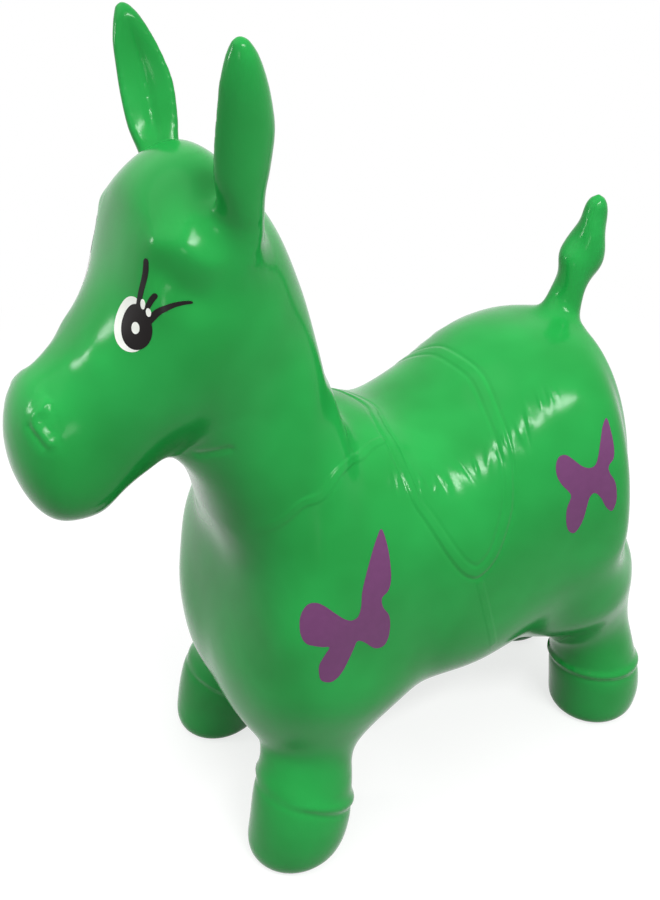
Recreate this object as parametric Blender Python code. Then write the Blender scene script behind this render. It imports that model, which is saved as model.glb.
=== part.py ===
# Inflatable ride-on animal: one hollow moulded skin, given here as the zones it flexes between, with sprung
# hooves, upright ears to hold, a knobbed tail and an air valve in the belly.
# The muzzle points along -X, the animal's left is -Y, the floor is z = 0. Blender units are metres.

import math

import bmesh
import bpy
from mathutils import Matrix, Vector

mm = 0.001

# Skin, and the fits between its zones
wall = 2.6 * mm
seam_gap = 0.3 * mm
cut_overrun = 6 * mm
body_segments = 28
limb_segments = 20
body_power = 2.3

# Trunk: x runs from the chest to the rump, heights are above the floor
chest_x = -127 * mm
trunk_length = 331 * mm
back_height = 340 * mm
trunk_width = 210 * mm
rump_bulge = 21.6 * mm
trunk_rings = 2
dome_rings = 4

# The haunches and the shoulders reach this far past the middle of the hips that they carry
hip_reach = 43 * mm

# Back line x and z, belly line x and z, width, and how far up the section it is widest
trunk_shares = [
    (0.885, 1.012, 0.952, 0.354, 0.76, 0.46),
    (0.814, 1.014, 0.898, 0.321, 1.01, 0.46),
    (0.695, 0.998, 0.741, 0.279, 0.98, 0.45),
    (0.560, 0.921, 0.590, 0.280, 0.975, 0.44),
    (0.448, 0.886, 0.444, 0.277, 0.98, 0.43),
    (0.349, 0.917, 0.375, 0.276, 0.96, 0.42),
    (0.287, 0.931, 0.071, 0.268, 0.97, 0.42),
    (0.277, 1.003, 0.005, 0.416, 0.876, 0.42),
    (0.257, 1.044, 0.043, 0.653, 0.69, 0.42),
]

# Saddle: a pad raised over the back, just inside the ends of the trunk, with a round flap down each side
saddle_front_margin = 4.5 * mm
saddle_rear_margin = 9.5 * mm
saddle_rise = 1.6 * mm
flap_height = 262 * mm
flap_drop = 45 * mm
flap_inset = 5 * mm
flap_points = 12

# Neck: shares of the way from the end of the trunk to the start of the head
neck_width = 124 * mm
neck_rings = 2
neck_shares = [
    (0.151, 0.223, 0.091, 0.223, 1.10, 0.44),
    (0.410, 0.584, 0.531, 0.684, 0.96, 0.46),
]

# Head: x runs forward from the poll, heights are above the jaw line
poll_x = -75 * mm
jaw_height = 286 * mm
head_length = 150 * mm
head_depth = 205 * mm
head_width = 126 * mm
muzzle_bulge = 24.4 * mm
head_rings = 3
muzzle_rows = 9
head_shares = [
    (0.000, 0.832, 0.430, 0.150, 1.00, 0.50),
    (0.240, 1.012, 0.510, 0.160, 1.06, 0.55),
    (0.494, 0.927, 0.578, 0.115, 0.95, 0.53),
    (0.628, 0.685, 0.716, 0.050, 0.82, 0.50),
    (0.818, 0.497, 0.776, 0.012, 0.70, 0.48),
    (0.913, 0.430, 0.897, 0.017, 0.63, 0.48),
]

# Brow, hollow behind the eye, cheek and nostril, on each side of the head: forward, out and up, as shares
swelling_shares = [(0.43, 0.83, 0.83), (0.36, 0.97, 0.69), (0.52, 0.92, 0.42), (0.98, 0.48, 0.38)]
swelling_reaches = [20 * mm, 15 * mm, 34 * mm, 10 * mm]
swelling_rises = [5 * mm, -3 * mm, 3 * mm, 3 * mm]

# Legs: each leans from its hip out to its foot, with a hoof below the coronet.
# Places along the trunk are measured in from the chest and from the rump.
front_foot_in = 34 * mm
front_hip_in = 75 * mm
rear_foot_in = 3 * mm
rear_hip_in = 46 * mm
front_stance = 76 * mm
rear_stance = 59 * mm
front_hip_inset = 60 * mm
rear_hip_inset = 62 * mm
hip_height = 150 * mm
leg_curve = 1.5
rear_leg_size = 1.06
hoof_radius = 35.7 * mm
hoof_height = 57 * mm
coronet_height = 50 * mm
coronet_rise = 1.2 * mm
coronet_width = 6 * mm
ankle_radius = 31.5 * mm
ankle_height = 82 * mm
thigh_radius = 47.9 * mm
hoof_top_radius = 34.2 * mm
leg_shares = [(-0.25, 0.06), (0.00, 0.00), (0.20, 0.12), (0.42, 0.43), (0.70, 0.95), (0.88, 0.80), (1.00, 0.30)]
hoof_shares = [(0.0, 0.74), (0.05, 0.87), (0.17, 0.95), (0.40, 0.985), (0.70, 1.0)]

# Ears: scooped leaves that face sideways, on soft roots
ear_forward = 30 * mm
ear_sunk = 13 * mm
ear_drop = 53 * mm
ear_rise = 117 * mm
ear_spread = 38 * mm
ear_lean = 12 * mm
ear_width = 32 * mm
ear_thickness = 24 * mm
ear_facing = math.radians(83)
ear_root_share = 0.33
ear_bend_share = 0.20
ear_segments = 16
ear_tip_wall = 6 * mm
# Place along the ear, width, thickness, how far it sits back, and depth of the scoop
ear_shares = [
    (0.00, 0.60, 1.00, 0.00, 0.00),
    (0.17, 0.66, 1.00, 0.02, 0.10),
    (0.33, 0.78, 1.00, -0.01, 0.50),
    (0.45, 0.94, 0.98, 0.01, 0.85),
    (0.60, 0.99, 0.94, 0.06, 0.95),
    (0.73, 0.87, 0.88, 0.06, 0.85),
    (0.84, 0.70, 0.80, 0.04, 0.55),
    (0.93, 0.46, 0.62, 0.03, 0.20),
]

# Tail: lumps along a line that leans back, from the end of the back line
tail_forward = 8 * mm
tail_sunk = 21.5 * mm
tail_rise = 104 * mm
tail_lean = 36 * mm
tail_radius = 15.5 * mm
tail_root_share = 0.36
tail_bend_share = 0.25
tail_segments = 12
# Place along the tail, radius, and how far it sways back
tail_shares = [
    (0.00, 0.72, 0.00), (0.18, 0.80, 0.05), (0.36, 0.77, 0.02), (0.47, 0.88, 0.05), (0.56, 0.99, 0.03),
    (0.66, 0.90, 0.04), (0.74, 0.79, 0.00), (0.81, 0.69, -0.02), (0.88, 0.59, -0.11), (0.94, 0.49, -0.20),
]
tail_tip_wall = 5 * mm

# Valve in the belly, under the middle of the trunk
boss_radius = 11 * mm
boss_depth = 13 * mm
boss_proud = 0.8 * mm
flange_radius = 16 * mm
flange_thickness = 1.6 * mm
valve_bore_radius = 4.2 * mm
plug_head_radius = 8 * mm
plug_head_thickness = 2.2 * mm
plug_length = 15 * mm
plug_tip_radius = 3.2 * mm
valve_clearance = 0.3 * mm
valve_segments = 24


def clear_scene():
    for obj in list(bpy.data.objects):
        bpy.data.objects.remove(obj)


def plastic(name, colour, roughness):
    made = bpy.data.materials.new(name)
    made.use_nodes = True
    shader = made.node_tree.nodes["Principled BSDF"]
    shader.inputs["Base Color"].default_value = (*colour, 1)
    shader.inputs["Roughness"].default_value = roughness
    shader.inputs["Metallic"].default_value = 0
    made.diffuse_color = (*colour, 1)
    return made


def between(rows, steps):
    """The rows, with more on a smooth curve through them: steps[i] after row i."""
    last = len(rows) - 1
    found = []
    for i in range(last):
        a, b, c, d = (rows[min(max(j, 0), last)] for j in (i - 1, i, i + 1, i + 2))
        for step in range(steps[i]):
            t = step / steps[i]
            found.append(tuple(
                0.5 * (2 * q + (r - p) * t + (2 * p - 5 * q + 4 * r - s) * t ** 2
                       + (3 * q - p - 3 * r + s) * t ** 3)
                for p, q, r, s in zip(a, b, c, d)
            ))
    found.append(tuple(rows[last]))
    return found


def oval(centre, across, up, half_width, rise, drop, power, segments):
    """A closed superellipse: half_width each way across, rise above the centre and drop below it."""
    points = []
    for i in range(segments):
        angle = math.tau * i / segments
        c, s = math.cos(angle), math.sin(angle)
        u = math.copysign(abs(c) ** (2 / power), c) * half_width
        v = math.copysign(abs(s) ** (2 / power), s) * (rise if s > 0 else drop)
        points.append(centre + across * u + up * v)
    return points


def loft(name, loops, joined=False):
    """A solid through loops of points. A loop of one point is a pole; joined loops close on themselves."""
    bm = bmesh.new()
    rows = [[bm.verts.new(point) for point in loop] for loop in loops]
    pairs = list(zip(rows, rows[1:]))
    if joined:
        pairs.append((rows[-1], rows[0]))
    for a, b in pairs:
        for i in range(max(len(a), len(b))):
            j = (i + 1) % max(len(a), len(b))
            if len(a) == 1:
                bm.faces.new((a[0], b[j], b[i]))
            elif len(b) == 1:
                bm.faces.new((a[i], a[j], b[0]))
            else:
                bm.faces.new((a[i], a[j], b[j], b[i]))
    if not joined:
        for row in (rows[0], rows[-1]):
            if len(row) > 1:
                bm.faces.new(row)
    bmesh.ops.recalc_face_normals(bm, faces=bm.faces)
    mesh = bpy.data.meshes.new(name)
    bm.to_mesh(mesh)
    bm.free()
    obj = bpy.data.objects.new(name, mesh)
    bpy.context.scene.collection.objects.link(obj)
    return obj


def pivot_at(obj, point):
    """The object with its origin on its joint's axis and its shape where it was."""
    obj.data.transform(Matrix.Translation(-point))
    obj.location = point
    return obj


def shell(name, outer, inner):
    """A wall between two sets of loops, closed at a pole and open where both sets end in a loop."""
    if len(outer[-1]) == 1:
        outer, inner = outer[::-1], inner[::-1]
    return loft(name, outer + inner[::-1], joined=len(outer[0]) > 1)


def as_cutter(obj):
    obj.hide_render = True
    obj.display_type = "WIRE"
    return obj


def cut(obj, cutter, operation="DIFFERENCE"):
    modifier = obj.modifiers.new("cut_by_" + cutter.name, "BOOLEAN")
    modifier.operation = operation
    modifier.solver = "EXACT"
    modifier.object = as_cutter(cutter)


def body_rows():
    """Sections of the body from rump to muzzle, and where the neck and the head start among them."""
    rows = []
    for back_x, back_z, belly_x, belly_z, width, widest in trunk_shares:
        rows.append((chest_x + back_x * trunk_length, back_z * back_height,
                     chest_x + belly_x * trunk_length, belly_z * back_height,
                     width * trunk_width / 2, widest))
    head = []
    for back_x, back_z, jaw_x, jaw_z, width, widest in head_shares:
        head.append((poll_x - back_x * head_length, jaw_height + back_z * head_depth,
                     poll_x - jaw_x * head_length, jaw_height + jaw_z * head_depth,
                     width * head_width / 2, widest))
    neck = []
    for *places, width, widest in neck_shares:
        joined = [a + share * (b - a) for share, a, b in zip(places, rows[-1], head[0])]
        neck.append((*joined, width * neck_width / 2, widest))
    trunk_gaps = len(rows) - 1
    neck_gaps = len(neck) + 1
    steps = [trunk_rings] * trunk_gaps + [neck_rings] * neck_gaps + [head_rings] * (len(head) - 1)
    neck_start = trunk_rings * trunk_gaps
    return between(rows + neck + head, steps), neck_start, neck_start + neck_rings * neck_gaps


def swell(point, centre):
    """The point of the skin moved out from the section's centre by the brows and the like near it."""
    moved = 0
    for (forward, out, up), reach, rise in zip(swelling_shares, swelling_reaches, swelling_rises):
        place = Vector((poll_x - forward * head_length, out * head_width / 2, jaw_height + up * head_depth))
        distance = (Vector((point.x, abs(point.y), point.z)) - place).length
        moved += rise * math.exp(-(distance / reach) ** 2)
    return point + (point - centre).normalized() * moved


def section_loop(row, inset=0, shift=0, turned=0):
    """The outline of one section. shift moves it forward; turned, from 0 to 1, shrinks it over a dome."""
    back_x, back_z, belly_x, belly_z, half_width, widest = row
    top = Vector((back_x, 0, back_z))
    low = Vector((belly_x, 0, belly_z))
    height = (top - low).length
    up = (top - low) / height
    forward = Vector((-up.z, 0, up.x))
    size = math.cos(turned * math.pi / 2)
    centre = low.lerp(top, widest) + forward * shift
    points = oval(centre, Vector((0, 1, 0)), up, (half_width - inset) * size,
                  (height * (1 - widest) - inset) * size, (height * widest - inset) * size,
                  body_power, body_segments)
    return [swell(point, centre) for point in points]


def dome(row, depth, inset=0):
    """Loops that close the body over a rounded end, out to a pole. A negative depth faces the rump."""
    reach = math.copysign(abs(depth) - inset, depth)
    loops = []
    for step in range(1, dome_rings):
        turned = step / dome_rings
        loops.append(section_loop(row, inset, reach * math.sin(turned * math.pi / 2), turned))
    pole = section_loop(row, inset, reach)
    loops.append([(pole[body_segments // 4] + pole[-body_segments // 4]) / 2])
    return loops


def body_solid(name, grow):
    """The whole body as one solid, grown all round, to cut what meets it."""
    rows, _, _ = body_rows()
    loops = dome(rows[0], -rump_bulge, -grow)[::-1]
    loops += [section_loop(row, -grow) for row in rows]
    loops += dome(rows[-1], muzzle_bulge, -grow)
    return as_cutter(loft(name, loops))


def zone(name, rows, first_dome=0, last_dome=0):
    """A hollow length of the body, half a seam short of its neighbours at each open end."""
    sides = []
    for inset in (0, wall):
        loops = [section_loop(row, inset) for row in rows]
        if first_dome:
            loops = dome(rows[0], -first_dome, inset)[::-1] + loops
        else:
            loops[0] = section_loop(rows[0], inset, seam_gap / 2)
        if last_dome:
            loops += dome(rows[-1], last_dome, inset)
        else:
            loops[-1] = section_loop(rows[-1], inset, -seam_gap / 2)
        sides.append(loops)
    return shell(name, *sides)


def saddle_pad(first_row, last_row):
    """A pad over the back that stands saddle_rise proud of the skin and ends inside its wall."""
    front = last_row[0] + saddle_front_margin
    saddle_length = first_row[0] - saddle_rear_margin - front
    middle = front + saddle_length / 2
    outline = [(front, 2 * back_height), (front, flap_height + flap_inset)]
    for i in range(flap_points + 1):
        angle = math.pi * i / flap_points
        outline.append((middle - (saddle_length / 2 - flap_inset) * math.cos(angle),
                        flap_height - flap_drop * math.sin(angle)))
    outline += [(front + saddle_length, flap_height + flap_inset), (front + saddle_length, 2 * back_height)]
    sides = [[Vector((x, y, z)) for x, z in outline] for y in (-trunk_width, trunk_width)]
    pad = as_cutter(loft("saddle_pad", sides))
    cut(pad, body_solid("saddle_top", saddle_rise), "INTERSECT")
    cut(pad, body_solid("saddle_underside", -wall / 2))
    return pad


def leg_loop(foot, hip, height, radius, tilted=True):
    """A round section of a leg, square to the line that the leg leans along."""
    share = (height / hip_height) ** leg_curve
    lean = (Vector(hip) - Vector(foot))
    centre = Vector((*(Vector(foot) + lean * share), height))
    slope = leg_curve * share / height if height and tilted else 0
    axis = Vector((*(lean * slope), 1)).normalized()
    across = Vector((0, 1, 0)).cross(axis).normalized()
    return oval(centre, across, axis.cross(across), radius, radius, radius, 2, limb_segments)


def hoof(name, foot, hip, size):
    """A cup with a flat sole, open to the leg, with the coronet as a raised ring near its top."""
    rings = [(share * coronet_height, hoof_radius * size * radius) for share, radius in hoof_shares]
    crest = hoof_radius * size + coronet_rise
    rings += [(coronet_height - coronet_width / 2, hoof_radius * size), (coronet_height, crest),
              (coronet_height + coronet_width / 2, hoof_radius * size)]
    rings += [(hoof_height - seam_gap / 2, hoof_top_radius * size)]
    outer = [leg_loop(foot, hip, height, radius, height > 0) for height, radius in rings]
    inner = [leg_loop(foot, hip, max(height, wall), radius - wall, height > 0)
             for height, radius in rings if radius < crest]
    sole = Vector((*foot, 0))
    outer.insert(0, [sole])
    inner.insert(0, [Vector((*foot, wall))])
    return pivot_at(shell(name, outer, inner), sole)


def leg_line(place, side):
    """Where a leg's foot and hip are, in plan, and how thick it is for its kind."""
    if place == "front":
        foot = (chest_x + front_foot_in, side * front_stance)
        return foot, (chest_x + front_hip_in, side * (trunk_width / 2 - front_hip_inset)), 1
    rump_x = chest_x + trunk_length
    foot = (rump_x - rear_foot_in, side * rear_stance)
    return foot, (rump_x - rear_hip_in, side * (trunk_width / 2 - rear_hip_inset)), rear_leg_size


def leg(name, foot, hip, size):
    """A hollow leg from the hoof up into the trunk, and the bore that it opens through the trunk's wall."""
    rings = [(hoof_height + seam_gap / 2, hoof_top_radius * size)]
    rings += [(ankle_height + share * (hip_height - ankle_height),
               (ankle_radius + swell * (thigh_radius - ankle_radius)) * size) for share, swell in leg_shares]
    outer = [leg_loop(foot, hip, height, radius) for height, radius in rings]
    inner = [leg_loop(foot, hip, height, radius - wall) for height, radius in rings]
    return shell(name, outer, inner), as_cutter(loft(name + "_bore", inner[2:]))


def ear_parts(side):
    """The blade of an ear, its soft root, and the bore that the root opens through the head's wall."""
    crown_height = jaw_height + max(row[1] for row in head_shares) * head_depth
    base = Vector((poll_x - ear_forward, side * (head_width / 2 - ear_sunk), crown_height - ear_drop))
    tip = base + Vector((-ear_lean, side * ear_spread, ear_rise))
    axis = (tip - base).normalized()
    facing = Vector((-math.cos(ear_facing), -side * math.sin(ear_facing), 0))
    facing = (facing - axis * facing.dot(axis)).normalized()
    forward = axis.cross(facing)
    if forward.x > 0:
        forward = -forward

    def loop(row, inset, shift=0):
        share, width, thickness, back, scoop = row
        centre = base.lerp(tip, share) + axis * shift - forward * back * ear_width
        half = thickness * ear_thickness / 2
        points = oval(centre, forward, facing, width * ear_width / 2 - inset, half - inset, half - inset,
                      2, ear_segments)
        return [point - facing * scoop * half * max(math.sin(math.tau * i / ear_segments), 0) ** 2
                for i, point in enumerate(points)]

    split = next(i for i, row in enumerate(ear_shares) if row[0] >= ear_root_share)
    name = side_name(side)
    blade = []
    root = []
    for inset in (0, wall):
        rows = ear_shares[split:] if not inset else ear_shares[split:-1]
        loops = [loop(row, inset) for row in rows]
        loops[0] = loop(rows[0], inset, seam_gap / 2)
        loops.append([tip - axis * (ear_tip_wall if inset else 0)])
        blade.append(loops)
        loops = [loop(row, inset) for row in ear_shares[:split + 1]]
        loops[-1] = loop(ear_shares[split], inset, -seam_gap / 2)
        root.append(loops)
    bore = as_cutter(loft("ear_bore_" + name, [loop(row, wall) for row in ear_shares[:split + 1]]))
    ear = pivot_at(shell(name + "_ear", *blade), base.lerp(tip, ear_bend_share))
    return ear, shell(name + "_ear_root", *root), bore


def tail_parts():
    """The knobbed tail, its soft root, and the bore that the root opens through the rump."""
    base = Vector((chest_x + trunk_shares[0][0] * trunk_length - tail_forward, 0,
                   trunk_shares[0][1] * back_height - tail_sunk))
    tip = base + Vector((tail_lean, 0, tail_rise))
    axis = (tip - base).normalized()
    across = Vector((0, 1, 0))
    up = axis.cross(across)

    def loop(row, inset, shift=0):
        share, radius, sway = row
        size = radius * tail_radius - inset
        centre = base.lerp(tip, share) + axis * shift - up * sway * tail_radius
        return oval(centre, across, up, size, size, size, 2, tail_segments)

    split = next(i for i, row in enumerate(tail_shares) if row[0] >= tail_root_share)
    tail = []
    root = []
    for inset in (0, wall):
        loops = [loop(row, inset) for row in tail_shares[split:]]
        loops[0] = loop(tail_shares[split], inset, seam_gap / 2)
        end = tip - up * tail_shares[-1][2] * tail_radius
        loops.append([end - axis * (tail_tip_wall if inset else 0)])
        tail.append(loops)
        loops = [loop(row, inset) for row in tail_shares[:split + 1]]
        loops[-1] = loop(tail_shares[split], inset, -seam_gap / 2)
        root.append(loops)
    bore = as_cutter(loft("tail_bore", [loop(row, wall) for row in tail_shares[:split + 1]]))
    knobs = pivot_at(shell("tail", *tail), base.lerp(tip, tail_bend_share))
    return knobs, shell("tail_root", *root), bore


def turned(name, centre, profile):
    """A round solid about Z through (radius, height) pairs, closed on itself unless it ends on the axis."""
    loops = []
    for radius, height in profile:
        middle = centre + Vector((0, 0, height))
        if radius:
            loops.append(oval(middle, Vector((1, 0, 0)), Vector((0, 1, 0)), radius, radius, radius, 2,
                              valve_segments))
        else:
            loops.append([middle])
    return loft(name, loops, joined=bool(profile[0][0]))


def valve_parts(row):
    """The valve's boss, set through the belly from inside, its plug, and the hole for them in the skin."""
    belly = Vector((row[2], 0, row[3]))
    mouth = plug_head_radius + valve_clearance
    recess = plug_head_thickness + valve_clearance
    skin = section_loop(row, wall)
    lowest, beside = skin[-body_segments // 4], skin[-body_segments // 4 + 1]
    flange = wall + seam_gap + flange_radius * (beside.z - lowest.z) / abs(beside.y - lowest.y)
    seat = turned("valve_seat", belly, [
        (mouth, -boss_proud), (boss_radius, -boss_proud), (boss_radius, flange), (flange_radius, flange),
        (flange_radius, flange + flange_thickness), (boss_radius, flange + flange_thickness),
        (boss_radius, boss_depth), (valve_bore_radius, boss_depth), (valve_bore_radius, recess - boss_proud),
        (mouth, recess - boss_proud),
    ])
    stem = valve_bore_radius - valve_clearance
    plug = turned("valve_plug", belly, [
        (0, -boss_proud), (plug_head_radius, -boss_proud),
        (plug_head_radius, plug_head_thickness - boss_proud), (stem, plug_head_thickness - boss_proud),
        (plug_tip_radius, plug_length - boss_proud),
        (0, plug_length - boss_proud),
    ])
    hole = turned("valve_hole", belly, [
        (0, -cut_overrun), (boss_radius + seam_gap, -cut_overrun), (boss_radius + seam_gap, cut_overrun),
        (0, cut_overrun),
    ])
    return seat, pivot_at(plug, belly), as_cutter(hole)


def side_name(side):
    return "left" if side < 0 else "right"


def main():
    clear_scene()
    green = plastic("green_pvc", (0.05, 0.5, 0.12), 0.35)
    white = plastic("valve_plastic", (0.8, 0.8, 0.78), 0.4)
    rows, neck_start, head_start = body_rows()
    front_hip = leg_line("front", 1)[1]
    rear_hip = leg_line("rear", 1)[1]
    first = next(i for i, row in enumerate(rows) if row[2] <= rear_hip[0] - hip_reach)
    last = max(i for i, row in enumerate(rows[:neck_start]) if row[2] >= front_hip[0] + hip_reach)
    haunches = zone("haunches", rows[:first + 1], first_dome=rump_bulge)
    trunk = zone("trunk", rows[first:last + 1])
    shoulders = zone("shoulders", rows[last:neck_start + 1])
    neck = zone("neck", rows[neck_start:head_start + 1])
    head = zone("head", rows[head_start:head_start + muzzle_rows + 1])
    muzzle = zone("muzzle", rows[head_start + muzzle_rows:], last_dome=muzzle_bulge)
    body = body_solid("grown_body", seam_gap)
    cut(trunk, saddle_pad(rows[first], rows[last]), "UNION")
    parts = [haunches, trunk, shoulders, neck, head, muzzle]
    for side in (-1, 1):
        name = side_name(side)
        for place in ("front", "rear"):
            foot, hip, size = leg_line(place, side)
            limb, bore = leg(f"{name}_{place}_leg", foot, hip, size)
            cut(limb, body)
            cut(shoulders if place == "front" else haunches, bore)
            parts += [limb, hoof(f"{name}_{place}_hoof", foot, hip, size)]
        ear, root, bore = ear_parts(side)
        cut(root, body)
        cut(head, bore)
        parts += [ear, root]
    tail, root, bore = tail_parts()
    cut(root, body)
    cut(haunches, bore)
    parts += [tail, root]
    seat, plug, bore = valve_parts(rows[(first + last) // 2])
    cut(trunk, bore)
    for obj in parts:
        obj.data.materials.append(green)
    for obj in (seat, plug):
        obj.data.materials.append(white)


main()
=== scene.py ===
import math

import bmesh
import bpy
import numpy as np
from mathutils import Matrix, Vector
from mathutils.bvhtree import BVHTree
from mathutils.geometry import delaunay_2d_cdt


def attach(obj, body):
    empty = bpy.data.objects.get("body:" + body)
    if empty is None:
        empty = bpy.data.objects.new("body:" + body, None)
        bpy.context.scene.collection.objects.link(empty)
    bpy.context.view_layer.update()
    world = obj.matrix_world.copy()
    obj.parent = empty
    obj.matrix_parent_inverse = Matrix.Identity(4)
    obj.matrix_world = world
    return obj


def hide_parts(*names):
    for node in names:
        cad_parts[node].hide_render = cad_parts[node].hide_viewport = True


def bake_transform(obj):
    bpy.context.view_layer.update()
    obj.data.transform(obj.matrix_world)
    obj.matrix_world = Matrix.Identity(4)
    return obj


# Air-filled hopping animal: one glossy skin of soft PVC with hooves, ears and a tail that give, printed eyes
# and butterflies, and an air valve in the belly. Metres, muzzle along -X, the animal's left is -Y.

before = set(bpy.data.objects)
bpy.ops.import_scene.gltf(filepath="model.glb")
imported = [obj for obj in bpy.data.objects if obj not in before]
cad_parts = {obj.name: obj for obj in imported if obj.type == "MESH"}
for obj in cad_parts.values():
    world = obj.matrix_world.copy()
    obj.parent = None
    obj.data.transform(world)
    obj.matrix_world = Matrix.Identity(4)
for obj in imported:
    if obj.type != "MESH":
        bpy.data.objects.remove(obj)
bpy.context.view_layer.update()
mm = 0.001
print("stage: frame loaded,", len(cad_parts), "nodes")

camera = {"turn": -27.8, "pitch": 29.4, "distance": 0.690, "lookAt": (-0.025, 0, 0.277), "lens": 40}


def directionFrom(turn, pitch):     # unit vector at that turn from the animal's left side, and that pitch
    turn, pitch = math.radians(turn), math.radians(pitch)
    return Vector((math.sin(turn) * math.cos(pitch), -math.cos(turn) * math.cos(pitch), math.sin(pitch)))


def addObject(name, data):
    made = bpy.data.objects.new(name, data)
    bpy.context.scene.collection.objects.link(made)
    return made


def lookAlong(obj, turn, pitch, distance, target):      # places a camera or lamp and aims it at the target
    target = Vector(target)
    obj.location = target + directionFrom(turn, pitch) * distance
    obj.rotation_euler = (target - obj.location).to_track_quat("-Z", "Y").to_euler()


cameraObject = addObject("camera", bpy.data.cameras.new("camera"))
cameraObject.data.lens = camera["lens"]
cameraObject.data.clip_start = 10 * mm
lookAlong(cameraObject, camera["turn"], camera["pitch"], camera["distance"], camera["lookAt"])
bpy.context.scene.camera = cameraObject
bpy.context.scene.view_settings.view_transform = "Standard"


def linear(hexText):                # sRGB hex to linear colour
    parts = [int(hexText[i:i + 2], 16) / 255 for i in (1, 3, 5)]
    return [p / 12.92 if p <= 0.04045 else ((p + 0.055) / 1.055) ** 2.4 for p in parts] + [1]


def addNode(tree, kind, settings=None, links=None):     # links: input name or number to an output socket
    node = tree.nodes.new(kind)
    for key, value in (settings or {}).items():
        if isinstance(key, int) or key in node.inputs:
            node.inputs[key].default_value = value
        else:
            setattr(node, key, value)
    for key, socket in (links or {}).items():
        tree.links.new(socket, node.inputs[key])
    return node


def newMaterial(name):
    made = bpy.data.materials.new(name)
    made.use_nodes = True
    made.node_tree.nodes.clear()
    return made, made.node_tree


# Rotationally moulded soft PVC: wet-looking gloss over an even dye, with a faint orange peel from the mould.
# Its specular is lower than plain PVC's, since the studio is white on every side. Sizes are in mm.
skinFinish = {
    "dye": "#25a449", "deepDye": "#1f953f", "mottle": 60, "mottleSpread": (0.35, 0.65),
    "peel": 1.6, "peelDepth": 0.05, "peelStrength": 0.35, "roughness": 0.18, "ior": 1.46, "specular": 0.18,
    "scatter": 0.05, "scatterDepth": 2, "scatterColours": (0.4, 1.0, 0.5),
}


def mouldedPvc(name, finish):
    made, tree = newMaterial(name)
    place = addNode(tree, "ShaderNodeTexCoord").outputs["Object"]
    mottle = addNode(tree, "ShaderNodeTexNoise", {"Scale": 1 / (finish["mottle"] * mm), "Detail": 2.0},
                     {"Vector": place})
    dye = addNode(tree, "ShaderNodeValToRGB", links={"Fac": mottle.outputs["Fac"]})
    colours = finish["deepDye"], finish["dye"]
    for element, position, colour in zip(dye.color_ramp.elements, finish["mottleSpread"], colours):
        element.position = position
        element.color = linear(colour)
    peel = addNode(tree, "ShaderNodeTexNoise", {"Scale": 1 / (finish["peel"] * mm), "Detail": 1.0},
                   {"Vector": place})
    bump = addNode(tree, "ShaderNodeBump",
                   {"Strength": finish["peelStrength"], "Distance": finish["peelDepth"] * mm},
                   {"Height": peel.outputs["Fac"]})
    shader = addNode(tree, "ShaderNodeBsdfPrincipled", {
        "Roughness": finish["roughness"], "IOR": finish["ior"], "Specular IOR Level": finish["specular"],
        "Subsurface Weight": finish["scatter"], "Subsurface Radius": finish["scatterColours"],
        "Subsurface Scale": finish["scatterDepth"] * mm,
    }, {"Base Color": dye.outputs["Color"], "Normal": bump.outputs["Normal"]})
    addNode(tree, "ShaderNodeOutputMaterial", links={"Surface": shader.outputs["BSDF"]})
    return made


# Pad-printed vinyl ink: an even film, slightly flatter than the skin, with a little unevenness of tone where
# the ink lay thinner or thicker
inkFinish = {"patch": 5, "tones": (0.9, 1.08), "ior": 1.46, "specular": 0.2}


def printedInk(name, colour, roughness):
    made, tree = newMaterial(name)
    place = addNode(tree, "ShaderNodeTexCoord").outputs["Object"]
    cover = addNode(tree, "ShaderNodeTexNoise", {"Scale": 1 / (inkFinish["patch"] * mm), "Detail": 2.0},
                    {"Vector": place})
    tone = addNode(tree, "ShaderNodeValToRGB", links={"Fac": cover.outputs["Fac"]})
    ink = linear(colour)
    for element, strength in zip(tone.color_ramp.elements, inkFinish["tones"]):
        element.color = [min(part * strength, 1) for part in ink[:3]] + [1]
    shader = addNode(tree, "ShaderNodeBsdfPrincipled", {
        "Roughness": roughness, "IOR": inkFinish["ior"], "Specular IOR Level": inkFinish["specular"],
    }, {"Base Color": tone.outputs["Color"]})
    addNode(tree, "ShaderNodeOutputMaterial", links={"Surface": shader.outputs["BSDF"]})
    return made


# Moulded polyethylene: a waxy off-white stopper with a soft sheen and fine mould grain
stopperFinish = {"colour": "#e6e5de", "roughness": 0.42, "ior": 1.5, "scatter": 0.1, "scatterDepth": 1,
                 "grain": 0.8, "grainDepth": 0.05, "grainStrength": 0.3}


def mouldedPolyethylene(name, finish):
    made, tree = newMaterial(name)
    place = addNode(tree, "ShaderNodeTexCoord").outputs["Object"]
    grain = addNode(tree, "ShaderNodeTexNoise", {"Scale": 1 / (finish["grain"] * mm), "Detail": 2.0},
                    {"Vector": place})
    bump = addNode(tree, "ShaderNodeBump",
                   {"Strength": finish["grainStrength"], "Distance": finish["grainDepth"] * mm},
                   {"Height": grain.outputs["Fac"]})
    shader = addNode(tree, "ShaderNodeBsdfPrincipled", {
        "Base Color": linear(finish["colour"]), "Roughness": finish["roughness"], "IOR": finish["ior"],
        "Subsurface Weight": finish["scatter"], "Subsurface Scale": finish["scatterDepth"] * mm,
    }, {"Normal": bump.outputs["Normal"]})
    addNode(tree, "ShaderNodeOutputMaterial", links={"Surface": shader.outputs["BSDF"]})
    return made


greenPvc = mouldedPvc("moulded_green_pvc", skinFinish)
blackInk = printedInk("black_vinyl_ink", "#140f10", 0.3)
whiteInk = printedInk("white_vinyl_ink", "#f2f5ee", 0.32)
purpleInk = printedInk("purple_vinyl_ink", "#71406d", 0.34)
stopperPlastic = mouldedPolyethylene("moulded_polyethylene", stopperFinish)
print("stage: materials")

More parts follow.
